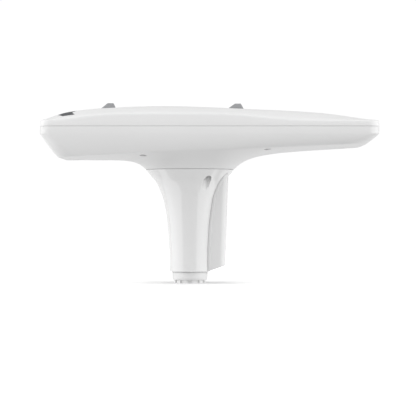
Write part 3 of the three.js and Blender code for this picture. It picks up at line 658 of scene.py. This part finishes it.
def stem_shell():
    """The flared hollow stem, with its window and the bores of its screws."""
    inside = heights([(LEDGE_Z, HOLLOW_R), (44, HOLLOW_R), (60, 19.8), (78, 22.5), (92, 26),
                      (103, HOLLOW_TOP_R)])
    edge = 0.4
    profile = [
        (STEM_TOP_R - 0.2, STEM_TOP_Z + 0.15),
        (STEM_TOP_R, STEM_TOP_Z),
        *stem_side(0, STEM_FOOT_Z + edge, STEM_TOP_Z - 0.3),
        (STEM_FOOT_R - edge, STEM_FOOT_Z),
        (SLEEVE_R + GAP, STEM_FOOT_Z),
        (SLEEVE_R + GAP, LEDGE_Z),
        (HOLLOW_R, LEDGE_Z),
        *[(inside(z), z) for z in (30, 44, 52, 60, 66, 72, 78, 84, 90, 96, 103)],
        (HOLLOW_TOP_R, STEM_TOP_Z),
    ]
    shell = turned("stem_skin", profile, 160, crease_deg=30)
    tools = [block("window", *WINDOW)]
    for degrees in STEM_SCREW_ANGLES:
        at = stem_screw_at(degrees)
        tools.append(rod("bore", STEM_BORE_R, STEM_BORE_FOOT_Z, STEM_SCREW_SEAT_Z, at, 64))
        tools.append(rod("hole", STEM_HOLE_R, STEM_SCREW_SEAT_Z - 1, STEM_TOP_Z + 1, at, 32))
    return boolean(shell, tools, crease_deg=30)


stand_for(stem_shell(), stem_white, "stem_white", "antenna", "stem_shell")

# ------------------------------------------------------------------ cable cover

COVER_FOOT_Z, COVER_TOP_Z, COVER_CORNER = 5, 118, 7
COVER_CUT_TURN, COVER_CUT_AT = -0.335, (20, 12.6)
LIP_WIDTH, LIP_DEPTH = 2.6, 0.7
CHANNEL_TOP_Z, COVER_WALL = 103, 2.4
TAB_LEVELS, TAB_HEIGHT = (40, 78), 8
TAB_FRONT_X, TAB_REAR, TAB_NEAR, TAB_FAR = 15, 8, 6.4, 8.5
RIB_HALF, RIB_FRONT, RIB_REAR = 7.9, 10, 1.6
cover_rear = heights([(12, 38), (60, 39), (118, 41)])
cover_half = heights([(12, 10.9), (55, 12), (80, 13.4), (98, 17), (118, 21)])


def cover_section(z, inset, front, recess):
    """The outline of the cover at a height, its rear corners rounded."""
    rear, half = cover_rear(z) - inset, cover_half(z) - inset - recess
    radius = COVER_CORNER - inset
    side_steps, corner_steps = 9, 12
    flank = [lerp(front, rear - radius, k / side_steps) for k in range(1, side_steps)]
    points = [(front, half, z), (front, 0, z), (front, -half, z)]
    points += [(x, -half, z) for x in flank]
    for side in (-1, 1):
        for k in range(corner_steps + 1):
            a = (-math.pi / 2 if side < 0 else 0) + math.pi / 2 * k / corner_steps
            points.append((rear - radius + radius * math.cos(a),
                           side * (half - radius) + radius * math.sin(a), z))
    points += [(x, half, z) for x in reversed(flank)]
    return points


def cover_blank(name, z0, z1, inset, front, steps, recess=0):
    """A solid with the cover's sections from z0 to z1."""
    rings = [cover_section(lerp(z1, z0, k / steps), inset, front, recess) for k in range(steps + 1)]
    middle = (front + cover_rear(z0)) / 2
    return skin(name, [[(middle, 0, z1)], *rings, [(middle, 0, z0)]], crease_deg=40)


def stem_envelope(extra):
    """The outer shape of the stem grown by `extra`, solid."""
    above, below = STEM_TOP_Z + 8, -8
    return turned("envelope", [(0, above), (NECK_R + 8, above),
                               *stem_side(extra, STEM_FOOT_Z, STEM_TOP_Z),
                               (STEM_FOOT_R + extra, below), (0, below)], 160, looped=False)


def cover_tabs():
    """Two pairs of tabs that reach into the stem's window, and the ribs that carry them."""
    made = []
    for z in TAB_LEVELS:
        span = (z, z + TAB_HEIGHT)
        rear = cover_rear(z)
        made.append(block("rib", (rear - RIB_FRONT, rear - RIB_REAR), (-RIB_HALF, RIB_HALF), span))
    for z in TAB_LEVELS:
        for ys in ((-TAB_FAR, -TAB_NEAR), (TAB_NEAR, TAB_FAR)):
            made.append(block("tab", (TAB_FRONT_X, cover_rear(z) - TAB_REAR), ys, (z, z + TAB_HEIGHT)))
    return made


def cable_cover():
    """The cover, whose sides are sunk behind a lip along the stem."""
    front = 12
    lip = cover_blank("lip", COVER_FOOT_Z, COVER_TOP_Z, 0, front, 90)
    lip = boolean(lip, [stem_envelope(LIP_WIDTH)], "INTERSECT")
    shell = cover_blank("cover_skin", COVER_FOOT_Z, COVER_TOP_Z, 0, front, 90, recess=LIP_DEPTH)
    shell = boolean(shell, [lip], "UNION")
    channel = cover_blank("channel", 0, CHANNEL_TOP_Z, COVER_WALL, 5, 40)
    bottom = block("bottom", (-40, 60), (-40, 40), (-30, 0))
    shift = Matrix.Translation((COVER_CUT_AT[0] * MM, 0, COVER_CUT_AT[1] * MM))
    bottom.data.transform(shift @ Matrix.Rotation(COVER_CUT_TURN, 4, "Y"))
    shell = boolean(shell, [stem_envelope(GAP), channel, bottom], crease_deg=30)
    shell = boolean(shell, cover_tabs(), "UNION", crease_deg=30)
    return bevelled(shell, 0.25, 2, 40)


stand_for(cable_cover(), stem_white, "stem_white", "cable_cover", "cable_cover")


def gasket(name, node, inner, outer):
    """A flat ring with rounded edges, as high as its CAD node."""
    z0, z1 = [corner[2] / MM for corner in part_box(node)]
    r = 0.35
    profile = [(outer - r, z1), (outer, z1 - r), (outer, z0 + r), (outer - r, z0),
               (inner + r, z0), (inner, z0 + r), (inner, z1 - r), (inner + r, z1)]
    return turned(name, profile, 128, crease_deg=70)


stand_for(gasket("gasket_skin", "neck_gasket", 40.6, 42.4), rubber, "rubber", "antenna", "neck_gasket")
stand_for(gasket("connector_seal_skin", "connector_seal", 8.2, 10.4), rubber, "rubber", "antenna",
          "connector_seal")

# ------------------------------------------------------------------ foot


def swivel_nut():
    """The foot: a sleeve with two grooves, a ring with a tapered foot and a castellated rim."""
    top = STEM_FOOT_Z - GAP
    c = 0.35
    sleeve_top, bore_r, socket_r, socket_top = 24.5, 12.8, 14.5, 22.3
    groove_r = SLEEVE_R - 1.2
    profile = [(bore_r, sleeve_top), (SLEEVE_R - c, sleeve_top), (SLEEVE_R, sleeve_top - c)]
    for groove_top, groove_foot in ((22.8, 21.3), (17.4, 15)):
        profile += [(SLEEVE_R, groove_top), (groove_r, groove_top),
                    (groove_r, groove_foot), (SLEEVE_R, groove_foot)]
    profile += [
        (SLEEVE_R, top), (FOOT_R - c, top), (FOOT_R - 0.1, top - 0.1), (FOOT_R, top - c),
        (FOOT_R, RIM_H + 1.8 + c), (FOOT_R - 0.06, RIM_H + 1.8),
        (FOOT_R - 0.9, RIM_H + 0.25), (FOOT_R - 1.2, RIM_H), (RIM_R, RIM_H),
        (RIM_R, c), (RIM_R - 0.1, 0.1), (RIM_R - c, 0),
        (socket_r, 0), (socket_r, socket_top), (bore_r, socket_top),
    ]
    nut = turned("nut_skin", profile, 144, crease_deg=40)
    count, half = 12, 2.2
    notches = [block("notch", (15.2, 20), (-half, half), (-1, RIM_H - 0.2), turn=360 / count * k)
               for k in range(count)]
    return boolean(nut, notches, crease_deg=40)


def thread_insert():
    """Brass bush with a 1 inch - 14 internal thread, 1.814 mm pitch."""
    pitch, sides, steps = 25.4 / 14, 72, 96
    outer, mouth, major, depth, edge, run_out = 14.2, 13, 12.7, 0.9, 0.3, 1.5
    z0, z1 = [corner[2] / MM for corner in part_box("thread_insert")]
    rings = [circle(outer - edge, z1, sides), circle(outer, z1 - edge, sides)]
    rings += [circle(outer, z0 + edge, sides), circle(outer - edge, z0, sides), circle(mouth, z0, sides)]
    for k in range(steps + 1):
        z = lerp(z0 + 0.2, z1 - 0.2, k / steps)
        fade = min(1, (z - z0) / run_out, (z1 - z) / run_out)
        ring = []
        for i in range(sides):
            a = 2 * math.pi * i / sides
            phase = (z / pitch - a / (2 * math.pi)) % 1
            tooth = 1 - abs(2 * phase - 1)
            radius = major - depth * fade * min(max(tooth * 1.3 - 0.15, 0), 1)
            ring.append((radius * math.cos(a), radius * math.sin(a), z))
        rings.append(ring)
    rings.append(circle(mouth, z1, sides))
    return skin("thread_skin", rings, looped=True, crease_deg=30)


def retaining_ring():
    """A snap ring, open towards the stern."""
    inner, outer, foot, top = 16, 18.6, 21.5, 22.6
    ring = turned("snap_skin", [(outer, top), (outer, foot), (inner, foot), (inner, top)], 96)
    return bevelled(boolean(ring, [block("gap", (10, 25), (-4, 4), (20, 24))]), 0.15, 2)


stand_for(swivel_nut(), nut_white, "nut_white", "swivel_nut", "swivel_nut")
stand_for(thread_insert(), brass, "brass", "swivel_nut", "thread_insert")
stand_for(gasket("foot_seal_skin", "foot_seal", 16, 17), rubber, "rubber", "swivel_nut", "foot_seal")
stand_for(retaining_ring(), steel, "steel", "swivel_nut", "retaining_ring")
stand_for(gasket("washer_skin", "thrust_washer", 17.2, 18.6), black_plastic, "black_plastic",
          "antenna", "thrust_washer")

# ------------------------------------------------------------------ nodes that keep their CAD shape

KEPT = {
    "chassis_plate": aluminium, "main_board": board_green, "receiver_shield": tin,
    "inertial_sensor": black_plastic, "board_header": black_plastic, "data_connector": nickel,
    "connector_pins": black_plastic, "connector_nut": nickel, "harness": lead_black,
    "breather_vent": vent_grey,
}
for end in ("bow", "stern"):
    KEPT[f"{end}_antenna_board"] = board_green
    KEPT[f"{end}_patch"] = ceramic
    KEPT[f"{end}_coax_plug"] = brass
    KEPT[f"{end}_coax_socket"] = brass
    KEPT[f"{end}_coax_lead"] = lead_black
for i in range(1, 5):
    KEPT[f"chassis_screw_{i}"] = steel
    KEPT[f"board_spacer_{i}"] = brass
for i in range(1, 4):
    KEPT[f"stem_insert_{i}"] = brass
for name, material in KEPT.items():
    node = frame["nodes"][name]
    node.data.materials.clear()
    node.data.materials.append(material)

# ------------------------------------------------------------------ stage, light and camera


def floor():
    """A pale disc whose glow is weak under the foot: a painted contact shadow added to the shadow the
    lamps cast.
    """
    mesh = bpy.data.meshes.new("floor")
    disc = bmesh.new()
    bmesh.ops.create_circle(disc, cap_ends=True, segments=96, radius=1.5)
    disc.to_mesh(mesh)
    disc.free()
    made = new_object("floor", mesh)
    made.data.materials.append(shade("floor_white", (0.9, 0.9, 0.9), 0.7, mottle=0.004, mottle_scale=2))
    made.visible_diffuse = False
    made.visible_glossy = False
    tree = made.data.materials[0].node_tree
    surface = tree.nodes["Principled BSDF"]
    surface.inputs["Emission Color"].default_value = (1, 1, 1, 1)
    place = tree.nodes.new("ShaderNodeTexCoord")
    away = tree.nodes.new("ShaderNodeVectorMath")
    away.operation = "LENGTH"
    tree.links.new(place.outputs["Object"], away.inputs[0])
    # Painted shadow: the glow is faint near the foot and full farther out, where the floor reads white.
    glow = tree.nodes.new("ShaderNodeMapRange")
    shadow_r, clear_r, shadow_glow, clear_glow = 0.02, 0.1, 0.02, 0.4
    glow.inputs["From Min"].default_value = shadow_r
    glow.inputs["From Max"].default_value = clear_r
    glow.inputs["To Min"].default_value = shadow_glow
    glow.inputs["To Max"].default_value = clear_glow
    tree.links.new(away.outputs["Value"], glow.inputs["Value"])
    tree.links.new(glow.outputs["Result"], surface.inputs["Emission Strength"])


def upright(x, near, far):
    """Corners of an upright board at x, in metres, from `near` to `far` along Y."""
    foot, top = -3.1, 1.9
    return [(x, near, foot), (x, far, foot), (x, far, top), (x, near, top)]


def sheen(name, corners, strength):
    """A flat bright board that shows in reflections only."""
    mesh = bpy.data.meshes.new(name)
    mesh.from_pydata(corners, [], [(0, 1, 2, 3)])
    board = bpy.data.objects.new(name, mesh)
    bpy.context.scene.collection.objects.link(board)
    glow = bpy.data.materials.new(name)
    glow.use_nodes = True
    surface = glow.node_tree.nodes["Principled BSDF"]
    surface.inputs["Base Color"].default_value = (0, 0, 0, 1)
    surface.inputs["Emission Color"].default_value = (1, 1, 1, 1)
    surface.inputs["Emission Strength"].default_value = strength
    mesh.materials.append(glow)
    board.visible_camera = False
    board.visible_diffuse = False
    board.visible_transmission = False
    board.visible_shadow = False


def panel(name, place, size, power, aim):
    """A rectangular softbox in metres and watts, facing `aim`."""
    light = bpy.data.lights.new(name, "AREA")
    light.shape = "RECTANGLE"
    light.size, light.size_y = size
    light.energy = power
    made = bpy.data.objects.new(name, light)
    bpy.context.scene.collection.objects.link(made)
    made.location = place
    made.rotation_euler = (Vector(aim) - Vector(place)).to_track_quat("-Z", "Y").to_euler()
    made.visible_camera = False


SHOWN_LEVEL = 1.02


def world(fill, reflected):
    """White behind the object, an even fill light, and a darker room in the reflections."""
    sky = bpy.data.worlds.new("studio")
    sky.use_nodes = True
    nodes, links = sky.node_tree.nodes, sky.node_tree.links
    path = nodes.new("ShaderNodeLightPath")
    light = nodes["Background"]
    light.inputs["Strength"].default_value = fill
    shown = light.outputs["Background"]
    for strength, ray in ((reflected, "Is Glossy Ray"), (SHOWN_LEVEL, "Is Camera Ray")):
        other = nodes.new("ShaderNodeBackground")
        other.inputs["Color"].default_value = (1, 1, 1, 1)
        other.inputs["Strength"].default_value = strength
        mix = nodes.new("ShaderNodeMixShader")
        links.new(path.outputs[ray], mix.inputs["Fac"])
        links.new(shown, mix.inputs[1])
        links.new(other.outputs["Background"], mix.inputs[2])
        shown = mix.outputs["Shader"]
    light.inputs["Color"].default_value = (1, 1, 1, 1)
    links.new(shown, nodes["World Output"].inputs["Surface"])
    bpy.context.scene.world = sky


def camera():
    """Level, on the port side, a little astern of the stem's axis."""
    data = bpy.data.cameras.new("camera")
    data.lens = 147
    data.sensor_width = 36
    made = bpy.data.objects.new("camera", data)
    bpy.context.scene.collection.objects.link(made)
    made.location = (19.3 * MM, -1.82, 80 * MM)
    made.rotation_euler = (math.pi / 2, 0, 0)
    bpy.context.scene.camera = made


floor()
world(fill=0.71, reflected=0.4)
panel("left_softbox", (-2.8, -0.6, 0.6), (5.0, 3.5), 88, (0, -0.6, 0.6))
panel("right_softbox", (2.8, -1.0, 0.6), (5.0, 3.5), 81, (0, -1.0, 0.6))
panel("top_softbox", (0, 0.2, 2.6), (4, 4), 23, (0.02, 0, 0.1))
sheen("left_sheen", upright(-2.3, -2.74, 1.55), 1.25)
sheen("right_sheen", upright(2.3, -3.05, 1.02), 1.25)
sheen("back_sheen", [(-3, 2.4, -3), (3, 2.4, -3), (3, 2.4, 0), (-3, 2.4, 0)], 1.0)
camera()
bpy.context.scene.view_settings.view_transform = "Standard"
